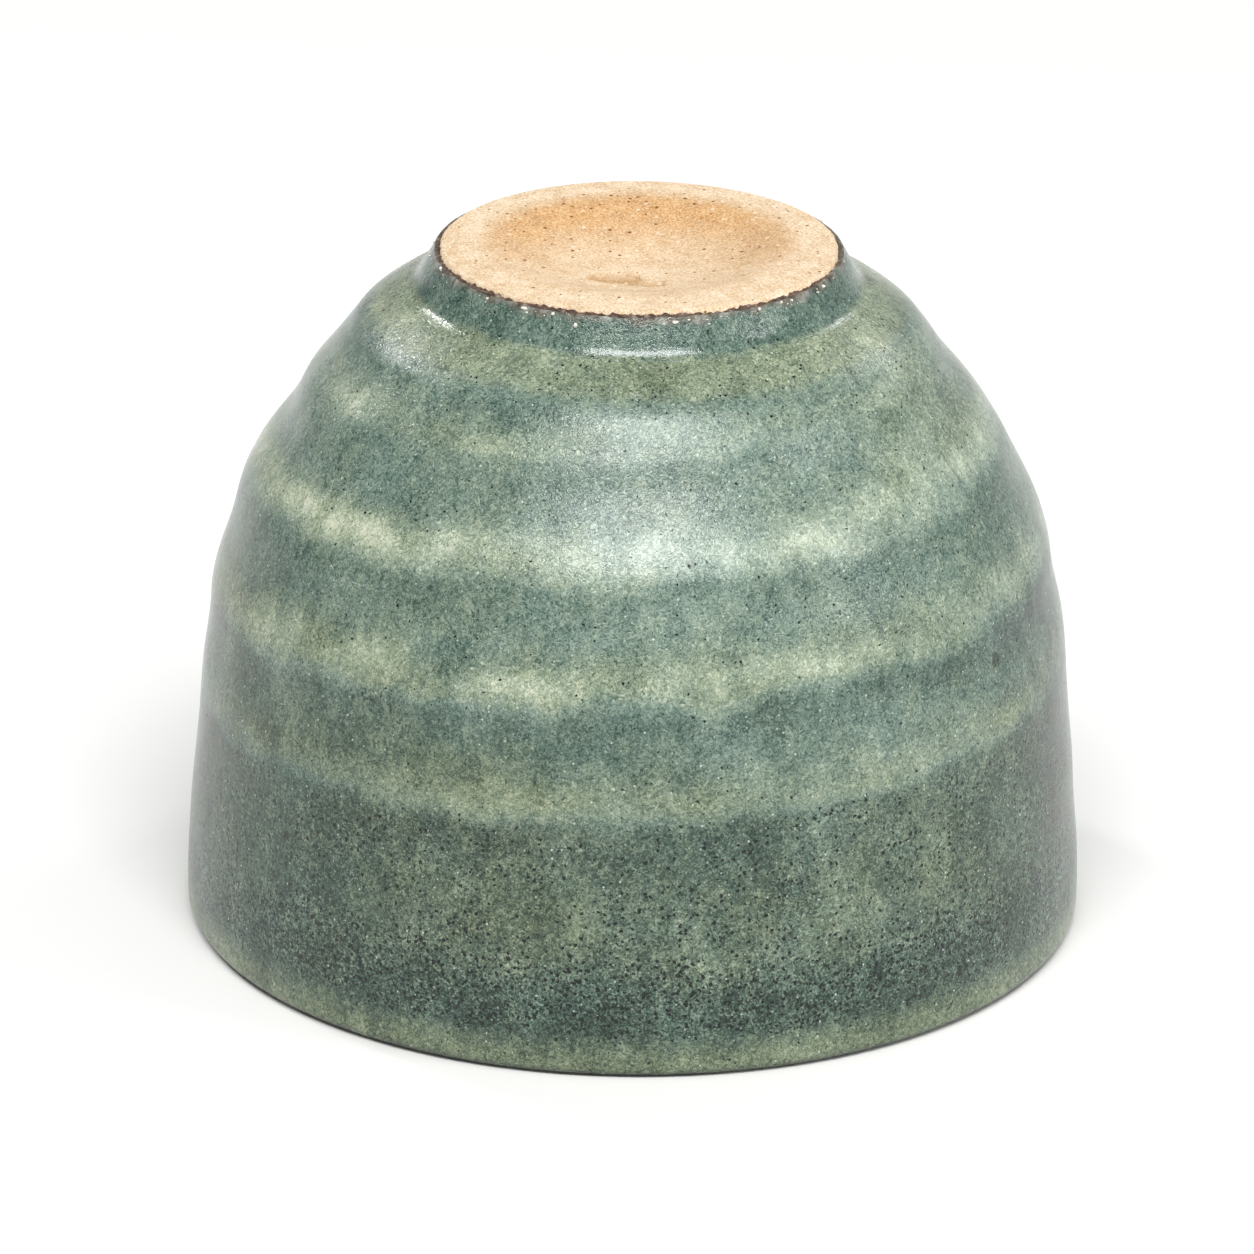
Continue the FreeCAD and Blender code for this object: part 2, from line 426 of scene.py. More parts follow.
clouds = [
    {"at": (62, 42.6), "reach": (22, 4.0), "thin_and_lit": 0.12, "tint_and_light": 0.42},
    # Partly the band's own pale patch and partly a painted highlight: the left patch is painted
    # paler.
    {"at": (-64, 43.7), "reach": (9, 1.1), "thin_and_lit": 0.38, "tint_and_light": 0.50},
    {"at": (-26, 46.0), "reach": (8, 1.2), "thin_and_lit": -0.16, "tint_and_light": 0.0},
    {"at": (36, 46.0), "reach": (14, 1.2), "thin_and_lit": -0.10, "tint_and_light": 0.0},
    {"at": (-29, 44.0), "reach": (11, 0.8), "thin_and_lit": 0.14, "tint_and_light": 0.45},
    {"at": (-20, 42.2), "reach": (45, 1.8), "thin_and_lit": 0.03, "tint_and_light": 0.0},
    {"at": (-54, 37.1), "reach": (14, 1.4), "thin_and_lit": 0.12, "tint_and_light": 0.15},
    {"at": (-28, 37.4), "reach": (14, 1.3), "thin_and_lit": 0.04, "tint_and_light": 0.25},
    # Painted highlights: where the front lamp's two gleams lie, the coat is painted paler and less
    # ashy. The lower one also carries the pale band's front.
    {"at": (3, 38.6), "reach": (15, 1.5), "thin_and_lit": 0.20, "tint_and_light": -0.30},
    {"at": (2, 45.6), "reach": (13, 1.0), "thin_and_lit": 0.10, "tint_and_light": -0.30},
    {"at": (28, 38.5), "reach": (6, 0.9), "thin_and_lit": 0.04, "tint_and_light": 0.1},
    {"at": (42, 38.9), "reach": (12, 1.0), "thin_and_lit": -0.14, "tint_and_light": 0.0},
    {"at": (60, 38.8), "reach": (16, 1.2), "thin_and_lit": -0.02, "tint_and_light": -0.2},
    {"at": (5, 35.2), "reach": (30, 1.2), "thin_and_lit": 0.08, "tint_and_light": 0.0},
    {"at": (-23, 33.0), "reach": (26, 1.8), "thin_and_lit": 0.09, "tint_and_light": 0.1},
    {"at": (16, 33.5), "reach": (26, 2.4), "thin_and_lit": 0.12, "tint_and_light": 0.0},
    {"at": (-53, 29.4), "reach": (5, 1.5), "thin_and_lit": 0.12, "tint_and_light": 0.1},
    {"at": (-37, 29.5), "reach": (7, 1.7), "thin_and_lit": 0.14, "tint_and_light": 0.1},
    {"at": (-24, 29.0), "reach": (2, 1.6), "thin_and_lit": -0.07, "tint_and_light": -0.15},
    {"at": (-14, 29.4), "reach": (7, 1.3), "thin_and_lit": 0.09, "tint_and_light": 0.1},
    {"at": (8, 29.8), "reach": (6, 1.5), "thin_and_lit": 0.12, "tint_and_light": 0.0},
    {"at": (23, 30.0), "reach": (6, 1.2), "thin_and_lit": 0.12, "tint_and_light": -0.1},
    # Painted shade, with some olive glaze: the wall's left side is painted darker here.
    {"at": (-76, 27.0), "reach": (11, 6.0), "thin_and_lit": -0.14, "tint_and_light": 0.35},
    {"at": (20, 25.2), "reach": (55, 1.6), "thin_and_lit": 0.08, "tint_and_light": 0.0},
    {"at": (-34, 22.6), "reach": (30, 3.2), "thin_and_lit": -0.06, "tint_and_light": 0.50},
    {"at": (-56, 20.6), "reach": (10, 1.6), "thin_and_lit": -0.24, "tint_and_light": 0.2},
    {"at": (-14, 20.8), "reach": (13, 1.1), "thin_and_lit": 0.05, "tint_and_light": 0.3},
    {"at": (9, 21.0), "reach": (6, 1.2), "thin_and_lit": 0.03, "tint_and_light": 0.3},
    {"at": (32, 21.0), "reach": (14, 1.1), "thin_and_lit": 0.03, "tint_and_light": 0.3},
    {"at": (58, 21.9), "reach": (6, 0.9), "thin_and_lit": 0.08, "tint_and_light": 0.5},
    # Painted shade: the wall's right side is painted darker here.
    {"at": (72, 27.0), "reach": (12, 6.0), "thin_and_lit": -0.22, "tint_and_light": 0.1},
    # Painted shade: the lower wall's left and right sides are painted darker.
    {"at": (-78, 14.0), "reach": (16, 12.0), "thin_and_lit": -0.20, "tint_and_light": 0.1},
    {"at": (74, 14.0), "reach": (14, 12.0), "thin_and_lit": -0.24, "tint_and_light": 0.1},
    {"at": (-48, 12.0), "reach": (14, 7.0), "thin_and_lit": -0.10, "tint_and_light": -0.1},
    {"at": (-24, 17.2), "reach": (34, 1.4), "thin_and_lit": -0.08, "tint_and_light": 0.0},
    {"at": (10, 16.8), "reach": (13, 2.6), "thin_and_lit": -0.12, "tint_and_light": -0.2},
    {"at": (-17, 13.0), "reach": (14, 5.0), "thin_and_lit": 0.02, "tint_and_light": 0.35},
    {"at": (33, 12.0), "reach": (26, 5.0), "thin_and_lit": 0.04, "tint_and_light": 0.15},
    {"at": (0, 48.6), "reach": (22, 1.0), "thin_and_lit": -0.16, "tint_and_light": 0.0},
    {"at": (50, 47.0), "reach": (0.7, 0.6), "thin_and_lit": -0.5, "tint_and_light": 0.0},
    {"at": (57, 26.4), "reach": (1.0, 0.5), "thin_and_lit": -0.5, "tint_and_light": 0.5},
    {"at": (150, 24.0), "reach": (30, 5.0), "thin_and_lit": 0.05, "tint_and_light": 0.4},
    {"at": (-140, 40.0), "reach": (25, 4.0), "thin_and_lit": 0.05, "tint_and_light": 0.4},
    {"at": (170, 38.0), "reach": (16, 2.0), "thin_and_lit": 0.16, "tint_and_light": 0.2},
    {"at": (120, 30.0), "reach": (18, 1.6), "thin_and_lit": 0.14, "tint_and_light": 0.2},
]


def bare_band(share):
    """A crest's bare band: it comes in just under the crest and fades out above it."""
    share = (share + band_foot) % 1
    return step_up(share, 0, 0.27) * step_up(-share, -band_top - band_foot, -0.25)


def ashy_band(share):
    """The olive part of a band, which reaches a little further up than its bare part."""
    share = (share + band_foot) % 1
    return step_up(share, 0, 0.22) * step_up(-share, -band_top - 2 * band_foot, -0.30)


def cloudiness(height, angle, kind):
    """What the clouds add at each place: the sum of soft ovals on the wall."""
    total = 0
    for cloud in clouds:
        degrees, mm = cloud["at"]
        wide, tall = cloud["reach"]
        around = np.remainder(np.degrees(angle) - degrees + 180, 360) - 180
        total = total + cloud[kind] * bell(np.hypot(around / wide, (height / MM - mm) / tall))
    return total


lower_edge = 19.3 * MM
lower_edge_swing = 1.3 * MM


def lower_wall(height, angle):
    """One on the lower wall, below the last clear ridge, and nought above it."""
    edge = lower_edge + lower_edge_swing * np.sin(angle)
    return step_up(edge - height, -0.7 * MM, 1.0 * MM)


def coat_look(radius, height, angle):
    """How thinly the coat lies and how ashy it is, with painted light: nought is thick, glassy
    glaze and one is thinly laid and ashy.
    """
    ragged = (0.13 * lumps(radius, height, angle, 5 * MM, 7)
              + 0.03 * lumps(radius, height, angle, 1.3 * MM, 8, tall=1.2))
    patches = lumps(radius, height, angle, 6 * MM, 11, tall=1.2)
    blotches = patches + 0.9 * lumps(radius, height, angle, 1.9 * MM, 5, tall=1.8)
    ash_patches = (lumps(radius, height, angle, 5 * MM, 31)
                   + 0.6 * lumps(radius, height, angle, 2.2 * MM, 32, tall=1.5))
    turns = spiral_turns(height) + ragged
    share = (turns - angle / full_turn) % 1
    crest = turns - share
    bareness = smooth_through([(at, bare) for at, bare, _ in band_strength], crest)
    tint_level = smooth_through([(at, ashy) for at, _, ashy in band_strength], crest)
    low = lower_wall(height + 0.9 * MM * patches, angle)
    shoulder = step_up(height, 46.9 * MM, 48.0 * MM)
    dark_band = step_up(-height, -9.0 * MM, -5.8 * MM) * step_up(height, 2.8 * MM, 3.9 * MM)
    lip = step_up(-height, -3.5 * MM, -1.2 * MM)
    # Painted shadow: the lip's last half millimetre, where it stands on the table, is painted darker.
    painted_lip_shadow = 0.45 * step_up(-height, -0.8 * MM, -0.2 * MM)
    neck = step_up(height + 3 * ragged * MM, 49.35 * MM, 49.9 * MM)

    broken = np.clip(0.95 + 1.0 * blotches, 0.2, 1.5)
    # Painted light: the upper wall is painted paler, as light from above makes it.
    painted_top_light = 0.08 * step_up(height, 30 * MM, 38 * MM)
    pool = groove_pool * (1 - 0.6 * step_up(height, 39 * MM, 43 * MM))
    crest_here = saw_tooth(share, 0.15) - 0.5
    thin_and_lit = bareness * bare_band(share) * broken + 0.28 + pool * crest_here + painted_top_light
    thin_and_lit = thin_and_lit * (1 - low) + low * (0.14 + 0.11 * blotches)
    thin_and_lit = thin_and_lit * (1 - shoulder) + shoulder * (0.48 + 0.18 * blotches)
    thin_and_lit = thin_and_lit + cloudiness(height, angle, "thin_and_lit") * broken
    thin_and_lit = thin_and_lit * (1 - dark_band) + dark_band * (0.10 * blotches - 0.03)
    thin_and_lit = thin_and_lit * (1 - lip) + lip * (0.34 + 0.1 * blotches - painted_lip_shadow)
    thin_and_lit = thin_and_lit * (1 - neck) + neck * (0.19 + 0.08 * blotches)

    tint_and_light = tint_level * ashy_band(share) + 0.12 + 0.22 * ash_patches
    tint_and_light = tint_and_light * (1 - low) + low * (0.48 + 0.22 * ash_patches)
    tint_and_light = tint_and_light * (1 - shoulder) + shoulder * (0.92 + 0.2 * ash_patches)
    tint_and_light = tint_and_light + cloudiness(height, angle, "tint_and_light")
    tint_and_light = tint_and_light * (1 - dark_band) + dark_band * (0.30 + 0.2 * ash_patches)
    tint_and_light = tint_and_light * (1 - lip) + lip * 1.0
    tint_and_light = tint_and_light * (1 - neck) + neck * 0.08
    return thin_and_lit, np.clip(tint_and_light, 0, 1)


# %% Its pits, its wet neck and its burnt edge
def coat_pits(radius, height, angle):
    """How thickly the dark pores lie. They gather in clumps."""
    low = lower_wall(height, angle)
    dark_band = bell((height - 6.2 * MM) / (2.6 * MM))
    shoulder = bell((height - 48.0 * MM) / (1.6 * MM))
    clear_of_lip = step_up(height, 2.4 * MM, 4 * MM)
    clumps = 1 + 0.8 * lumps(radius, height, angle, 2.5 * MM, 21)
    lower_pits = (0.30 * low + 0.75 * dark_band) * clear_of_lip
    return np.clip((0.15 + 0.06 * shoulder + lower_pits) * clumps, 0, 1)


def coat_wetness(height):
    """One in the foot's neck, where the glass pooled and lies smoothest, and nought elsewhere."""
    return bell((height - 49.9 * MM) / (0.8 * MM))


def coat_burn(height, angle):
    """One beside the bare foot, where the coat ends, and nought two thirds of a millimetre below."""
    ragged = 0.10 * MM * (np.sin(9 * angle) + np.sin(23 * angle + 1) + np.sin(41 * angle + 2))
    return step_up(height + ragged, 51.5 * MM, 52.15 * MM)


def paint_coat(piece, radius, height):
    thin_and_lit, tint_and_light = coat_look(radius, height, turn)
    paint(piece, "thinness_and_light", thin_and_lit)
    paint(piece, "tint_and_light", tint_and_light)
    paint(piece, "pits", coat_pits(radius, height, turn))
    paint(piece, "burn", coat_burn(height, turn))
    paint(piece, "wetness", coat_wetness(height))


# %% [markdown]
# ## The outside coat
# The glaze is a shell of its own, as it is on the real cup. Its outer face follows the wall's
# radius, and its back is a little further in. A ring of edge faces closes it at each end.

# %% Building the outside coat
row_step = 0.25 * MM
coat_depth = 0.4 * MM
coat_top = 52.1 * MM
coat_edge_wander = 0.06 * MM
row_crowding = 0.9


def ragged_edge(seed, depth):
    """A small uneven height for each column, as an edge of glaze has."""
    circle = np.full_like(turn, 15 * MM)
    coarse = lumps(circle, np.zeros_like(turn), turn, 2.6 * MM, seed)
    fine = lumps(circle, np.zeros_like(turn), turn, 0.7 * MM, seed + 1)
    return depth * (coarse + 0.6 * fine)


def rise(low, high):
    """Evenly spaced shares from nought to one, one for each row that fits between low and high."""
    count = round((high - low) / row_step) + 1
    return np.linspace(0, 1, count)[:, None]


share = rise(lip_band_top, coat_top)
coat_edge = coat_top + ragged_edge(40, coat_edge_wander)
front_height = lip_band_top + (coat_edge - lip_band_top) * share ** row_crowding
front_radius = wall_radius(front_height, turn)
back_height = front_height[::-8]
back_radius = front_radius[::-8] - coat_depth
outer_height = np.vstack([front_height, back_height])
outer_radius = np.vstack([front_radius, back_radius])
outer_glaze = thrown("outside_glaze", outer_radius, outer_height)
paint_coat(outer_glaze, outer_radius, outer_height)
seat(outer_glaze, "outer_glaze")

# %% [markdown]
# ## The lip
# The lip was rounded with a wet leather. Molten glaze draws back from such an edge, so the coat is
# thin there. This piece meets the outside coat and the inside one at the same rows.

# %% Building the lip's coat
lip_thickness = 2.2 * MM
lip_round = lip_thickness / 2
lip_steps = 24
lip_side_rows = 7
lip_back_steps = 9
lip_coat = 0.22 * MM
bowl_radius = 29.9 * MM
bowl_start = 16 * MM


def bowl_taper(height):
    """The inside radius between the lip's round and the half ball of the bowl."""
    inner_edge = widest - lip_thickness
    return inner_edge + (bowl_radius - inner_edge) * (height - lip_round) / (bowl_start - lip_round)


outside_rows = np.linspace(lip_band_top, lip_round, lip_side_rows)[:, None]
round_angle = np.linspace(0, math.pi, lip_steps)[1:-1, None]
inside_rows = outside_rows[::-1]
lip_edge = wall_radius(np.array([[lip_round]]), turn)
outer_side = wall_radius(outside_rows, turn)
around = lip_edge - lip_round + lip_round * np.cos(round_angle)
inner_side = bowl_taper(inside_rows) + 0 * turn
lip_height = np.vstack([outside_rows, lip_round - lip_round * np.sin(round_angle), inside_rows])
lip_radius = np.vstack([outer_side, around, inner_side])
back_round = np.linspace(math.pi, 0, lip_back_steps)[:, None]
inner_back = bowl_taper(lip_band_top) + lip_coat + 0 * turn
outer_back = outer_side[:1] - coat_depth
back_reach = lip_round - lip_coat
back_around = lip_edge - lip_round + back_reach * np.cos(back_round)
back_below = lip_round - back_reach * np.sin(back_round)
lip_back_radius = np.vstack([inner_back, back_around, outer_back])
lip_back_height = np.vstack([lip_band_top, back_below, lip_band_top])
lip_all_radius = np.vstack([lip_radius, lip_back_radius])
lip_all_height = np.vstack([lip_height, lip_back_height]) + 0 * turn
lip_glaze = thrown("lip_glaze_band", lip_all_radius, lip_all_height)
paint_coat(lip_glaze, lip_all_radius, lip_all_height)
seat(lip_glaze, "lip_glaze")

# %% [markdown]
# ## The inside of the bowl
# Nobody sees it in the photograph, but the cup is stored with its mouth open below. A bowl like
# this has softer finger rings than the outside, because a sponge went over it, and the glaze pooled
# at its bottom, which is the ceiling here.

# %% Building the inside coat
inside_coat = 0.35 * MM
taper_rows = 34
bowl_rows = 70
inside_ring = 0.12 * MM
inside_pitch = 6.5 * MM

taper_height = np.linspace(lip_band_top, bowl_start, taper_rows)[:, None]
ball_angle = np.linspace(0, math.pi / 2, bowl_rows)[1:-1, None]
ball_height = bowl_start + bowl_radius * np.sin(ball_angle)
inner_height = np.vstack([taper_height, ball_height])
inner_plain = np.vstack([bowl_taper(taper_height), bowl_radius * np.cos(ball_angle)])
path_length = np.concatenate([[0], np.cumsum(np.hypot(np.diff(inner_height[:, 0]),
                                                      np.diff(inner_plain[:, 0])))])[:, None]
finger = np.cos(full_turn * (path_length / inside_pitch - turn / full_turn)) - 1
inner_fade = step_up(inner_height, 3.5 * MM, 9 * MM) * step_up(inner_plain, 1 * MM, 4 * MM)
inner_radius = inner_plain - inside_ring * finger * inner_fade * 0.5
inner_face_height = inner_height + 0 * turn
back_rows = inner_height[::-3]
inner_back_height = back_rows + inside_coat * step_up(back_rows, bowl_start, bowl_ceiling)
inner_back_radius = inner_plain[::-3] + inside_coat + 0 * turn
inner_all_height = np.vstack([inner_face_height[::-1], inner_back_height[::-1] + 0 * turn])
inner_all_radius = np.vstack([inner_radius[::-1], inner_back_radius[::-1]])
inner_tips = (bowl_start + bowl_radius, bowl_start + bowl_radius + inside_coat)
inner_glaze = thrown("inside_glaze", inner_all_radius, inner_all_height, inner_tips)
pool = step_up(-inner_all_radius, -12 * MM, -3 * MM)
finger_thin = 0.28 - 0.25 * pool + 0.12 * lumps(inner_all_radius, inner_all_height, turn, 8 * MM, 51)
finger_thin = finger_thin + 0.3 * step_up(-inner_all_height, -5 * MM, -2.6 * MM)
paint(inner_glaze, "thinness_and_light", finger_thin)
paint(inner_glaze, "pits", 0.25 + 0 * inner_all_radius)
paint(inner_glaze, "tint_and_light", 0.15 + 0.15 * pool)
paint(inner_glaze, "burn", 0 * inner_all_radius)
paint(inner_glaze, "wetness", pool)
seat(inner_glaze, "inner_glaze")

# %% [markdown]
# ## The clay
# The clay shows only on the foot. The potter turned the leather-hard cup over and trimmed a flat
# ring, with a shallow well inside it. The tool tore three small flakes out of the well's floor.
# Below the glaze the mesh only has to fill the cup, so its rows are far apart there.

# %% The well, its flakes and the clay's grain
foot_edge = 14.72 * MM
ring_inside = 12.15 * MM
well_depth = 1.8 * MM
well_roll = 9 * MM
grain_size = 0.45 * MM
grain_relief = 0.012 * MM
tool_ring_depth = 0.006 * MM
tool_ring_pitch = 0.9 * MM
coat_gap = 0.01 * MM
flakes = [
    {"x": -1.8, "y": -3.1, "width": 2.3, "length": 1.6, "depth": 0.30, "lean": 0.16},
    {"x": 0.6, "y": -4.6, "width": 1.5, "length": 1.1, "depth": 0.28, "lean": -0.20},
    {"x": -2.5, "y": -5.9, "width": 1.0, "length": 0.7, "depth": 0.16, "lean": 0.20},
]


def well_drop(radius):
    """How far the well's floor lies below the ring: a roll off the ring, then one shallow dish."""
    slope = 2 * math.atan(well_depth / ring_inside)
    dish_radius = ring_inside / math.sin(slope) - well_roll
    meeting = ring_inside - well_roll * math.sin(slope)
    rolled = well_roll - np.sqrt(well_roll ** 2 - np.clip(ring_inside - radius, 0, well_roll) ** 2)
    dished = well_depth - dish_radius + np.sqrt(dish_radius ** 2 - np.clip(radius, 0, meeting) ** 2)
    return np.where(radius > ring_inside, 0, np.where(radius > meeting, rolled, dished))


def flake_drop(radius, angle):
    """The flakes that the tool tore out: each one slides in from behind and breaks off sharply at its
    front.
    """
    x = radius * np.sin(angle) / MM
    y = -radius * np.cos(angle) / MM
    tear = (lumps(radius, np.zeros_like(radius), angle, 0.8 * MM, 61)
            + 0.9 * lumps(radius, np.zeros_like(radius), angle, 0.35 * MM, 62))
    drop = np.zeros_like(x)
    for flake in flakes:
        across = (x - flake["x"]) / flake["width"]
        along = (y - flake["y"] - flake["lean"] * (x - flake["x"])) / flake["length"] + 0.6 * tear
        inside = 1 - across ** 2 - along ** 2
        slide = np.clip(0.75 - 0.5 * along, 0.1, 1.2)
        drop = np.maximum(drop, flake["depth"] * slide * step_up(inside, 0, 0.22))
    return drop * MM


# %% Building the clay
well_rows = 112
hidden_rows = 40
hidden_top = 51.7 * MM
edge_wander_depth = 0.08 * MM
tooth_size = 0.3 * MM
tooth_depth = 0.07 * MM
corner_steps_mm = [(0, 0.04), (0.10, 0.13), (0.16, 0.30)]

well_radius = np.linspace(0.1 * MM, foot_edge - 0.12 * MM, well_rows)[:, None] + 0 * turn
grain = (lumps(well_radius, np.zeros_like(well_radius), turn, grain_size, 71)
         + 0.6 * lumps(well_radius, np.zeros_like(well_radius), turn, 2 * grain_size, 72) - 1.4)
tool_rings = tool_ring_depth * (np.cos(well_radius * full_turn / tool_ring_pitch) - 1)
well_height = (foot_top - well_drop(well_radius) - flake_drop(well_radius, turn)
               + grain_relief * grain + tool_rings)
foot_circle = np.full_like(turn, foot_edge)
teeth = lumps(foot_circle, 0 * turn, turn, tooth_size, 83)
edge_wander = ragged_edge(80, edge_wander_depth) + tooth_depth * teeth - edge_wander_depth
corner_radius = np.vstack([foot_edge + out * MM + edge_wander for out, _ in corner_steps_mm])
corner_height = np.vstack([foot_top - down * MM for _, down in corner_steps_mm]) + 0 * turn
hidden_height = np.linspace(hidden_top, lip_band_top, hidden_rows)[:, None] + 0 * turn
hidden_radius = wall_radius(hidden_height, turn) - coat_depth - coat_gap
clay_reach = back_reach - coat_gap
lip_clay_radius = lip_edge - lip_round - clay_reach * np.cos(back_round)
lip_clay_height = lip_round - clay_reach * np.sin(back_round) + 0 * turn
inside_height = inner_back_height[::-1][::2][::-1] + 0 * turn
inside_radius = inner_plain[::-3][::-1][::2][::-1] + inside_coat + coat_gap + 0 * turn
clay_radius = np.vstack([well_radius, corner_radius, hidden_radius, lip_clay_radius,
                         inside_radius[::-1]])
clay_height = np.vstack([well_height, corner_height, hidden_height, lip_clay_height,
                         inside_height[::-1] + coat_gap])
clay_tips = (foot_top - well_depth, bowl_start + bowl_radius + inside_coat + 2 * coat_gap)
clay_body = thrown("stoneware_body", clay_radius, clay_height, clay_tips)
seat(clay_body, "clay_body")

# %% Where the flame toasted the foot, and the painted shade on it
flushes = [
    {"at": (0, 5.5), "reach": (6, 3.5), "strength": 0.35},
    {"at": (9, 0), "reach": (4, 4), "strength": 0.25},
    {"at": (-9, 0), "reach": (4, 5), "strength": 0.20},
]
# Painted shade: a tan spot on the right of the well.
right_well_shade = {"at": (9.5, 2), "reach": (3.8, 4.5), "strength": 0.3}
deepest_tear = 0.4 * MM

across = clay_radius * np.sin(turn) / MM
along = -clay_radius * np.cos(turn) / MM


def oval(spot):
    """A soft oval on the foot, for a spot given in millimetres from the axis."""
    x, y = spot["at"]
    wide, long = spot["reach"]
    return spot["strength"] * bell(np.hypot((across - x) / wide, (along - y) / long))


on_foot = step_up(clay_height, foot_top - 3 * MM, foot_top - 2.2 * MM)
in_well = step_up(-clay_radius, -12.9 * MM, -10.6 * MM)
from_axis = np.hypot(across, along)
toward_back = 0.1 + 0.9 * step_up(along, -6, 8)
warm = 0.06 + 0.85 * toward_back * bell((from_axis - 10) / 3.4) + sum(map(oval, flushes))
paint(clay_body, "toast", warm * in_well * on_foot)
# Painted shade: the tan spot on the right of the well.
paint(clay_body, "well_shade", oval(right_well_shade) * in_well * on_foot)
# Painted shade: the flakes are painted darker the deeper they lie, darkest at their sharp front.
paint(clay_body, "flake_shade", np.vstack([flake_drop(well_radius, turn) / deepest_tear,
                                    0 * clay_radius[well_rows:]]))
print("toasted most by", round(float((warm * in_well * on_foot).max()), 2))

# %% [markdown]
# ## The dark line at the foot
# Where the glaze ends on bare clay it thins out, and the iron in it burns to a dark brown, rough
# line. It is a lumpy little roll of glaze along the foot's edge, wider at some places than others.

# %% Building the dark line
line_steps = 12
line_bottom = 51.98 * MM
line_out_low = 15.10 * MM
line_out_high = 14.78 * MM
line_below_top = 0.27 * MM
line_least_width = 0.07 * MM
line_half_depth = 0.08 * MM
line_lump_depth = 0.05 * MM
line_angle = np.linspace(0, full_turn, line_steps, endpoint=False)[:, None]
line_wander = ragged_edge(90, 0.11 * MM)
line_low = line_bottom + line_wander + 0.08 * MM * (1 - np.sin(turn))
line_teeth = lumps(np.full_like(turn, foot_edge), 0 * turn, turn, 0.35 * MM, 98)
line_climb = ragged_edge(95, 0.12 * MM) + 0.20 * MM * line_teeth
line_high = foot_top - line_below_top + np.minimum(line_climb, 0.2 * MM)
line_low = np.minimum(line_low, line_high - line_least_width)
line_middle = (line_low + line_high) / 2
line_half = (line_high - line_low) / 2
line_height = line_middle + line_half * np.sin(line_angle)
line_share = (line_height - line_low) / (line_high - line_low)
line_lean = line_out_low + (line_out_high - line_out_low) * line_share
line_lump = line_lump_depth * lumps(line_lean, line_height, turn, 0.5 * MM, 97)
outward = np.cos(line_angle)
line_radius = line_lean + line_half_depth * outward + line_lump * (outward > -0.5)
edge_line = thrown("burnt_edge_line", line_radius, np.minimum(line_height, foot_top - 0.005 * MM))
seat(edge_line, "foot_edge_line")

# %% [markdown]
# ## Kiln grit
# Grains of quartz from the kiln shelf and beads of glass cling to the sticky line. A few large ones
# sit where the photograph shows them, and many small ones lie between. They are small balls pushed
# out of shape, all in one mesh.

# %% Building the grit
large_grit = [(-73, 52.0, 0.17), (-46, 51.9, 0.11), (-33, 51.95, 0.17), (-24, 51.95, 0.15),
              (-17, 51.4, 0.26), (10, 51.8, 0.18), (35, 51.95, 0.19), (43, 52.0, 0.18),
              (47, 51.9, 0.12), (62, 51.9, 0.13), (118, 51.9, 0.16), (160, 51.8, 0.15),
              (-130, 51.9, 0.17)]
small_count = 90
highest_grain_mm = 52.3
foot_flank_lean = 0.56
grit_random = np.random.default_rng(7)
small_grit = [(grit_random.uniform(-180, 180), grit_random.normal(51.75, 0.16),
               grit_random.uniform(0.04, 0.09)) for _ in range(small_count)]

grit_mesh = bmesh.new()
for degrees, height_mm, radius_mm in large_grit + small_grit:
    angle = math.radians(degrees)
    grain_height = min(height_mm, highest_grain_mm) * MM
    flank = wall_radius(np.array([[min(grain_height, coat_top)]]), np.array([[angle]]))[0, 0]
    out = flank - max(grain_height - coat_top, 0) * foot_flank_lean
    centre = Vector((out * math.sin(angle), -out * math.cos(angle), grain_height))
    grain_ball = bmesh.ops.create_icosphere(grit_mesh, subdivisions=2, radius=radius_mm * MM)["verts"]
    stretch = Vector((1 + 0.5 * math.sin(7 * angle), 0.9, 0.75))
    for vertex in grain_ball:
        knock = 1 + 0.35 * noise.noise(vertex.co / (0.2 * MM) + Vector((angle * 5, height_mm, 0)))
        vertex.co = centre + vertex.co * stretch * knock
grit_data = bpy.data.meshes.new("kiln_grit")
grit_mesh.to_mesh(grit_data)
grit_mesh.free()
grit_data.shade_smooth()
grit = bpy.data.objects.new("kiln_grit", grit_data)
bpy.context.scene.collection.objects.link(grit)
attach(grit, "root")
print("grit", len(large_grit) + small_count, "grains")

# %% [markdown]
# ## The ash glaze
# An ash glaze is a glass that matured on the clay. Its colour comes from the ash's iron, and its
# depth from thousands of tiny crystals and bubbles. It is glass, so its IOR is 1.45, and its gloss
# is broken by the crystals. The colour follows the thinness that was painted on the mesh, with the
# painted light in it, and noise at four real sizes: soft drifts, mottling, short worms and the fine
# fibre of the crystals.
# Pores and pale crystals are drawn from scattered cells, and the fibre frays the pores' outlines.

# %% The ash glaze's material
drift_size = 3.0 * MM
mottle_size = 0.9 * MM
worm_size = 0.42 * MM
fibre_size = 0.24 * MM
pore_spacing = 0.42 * MM
crystal_spacing = 0.62 * MM

ash_glaze, tree = new_material("ash_glaze")
place = node(tree, "TexCoord").outputs["Object"]
thinness_and_light = painted("thinness_and_light")
tint_level = painted("tint_and_light")
pits = painted("pits")
burn = painted("burn")
wetness = painted("wetness")
runny = node(tree, "Mapping", {"Vector": place, "Scale": (1, 1, 0.6)}).outputs[0]
drift = node(tree, "TexNoise", {"Vector": runny, "Scale": 1 / drift_size, "Detail": 2})
mottle = node(tree, "TexNoise", {"Vector": runny, "Scale": 1 / mottle_size, "Detail": 3,
                                 "Roughness": 0.6}).outputs["Fac"]
worms = node(tree, "TexNoise", {"Vector": place, "Scale": 1 / worm_size, "Detail": 1,
                                "Distortion": 1.6}).outputs["Fac"]
fibre = node(tree, "TexNoise", {"Vector": place, "Scale": 1 / fibre_size, "Detail": 1.5,
                                "Roughness": 0.6, "Distortion": 1.4}).outputs["Fac"]

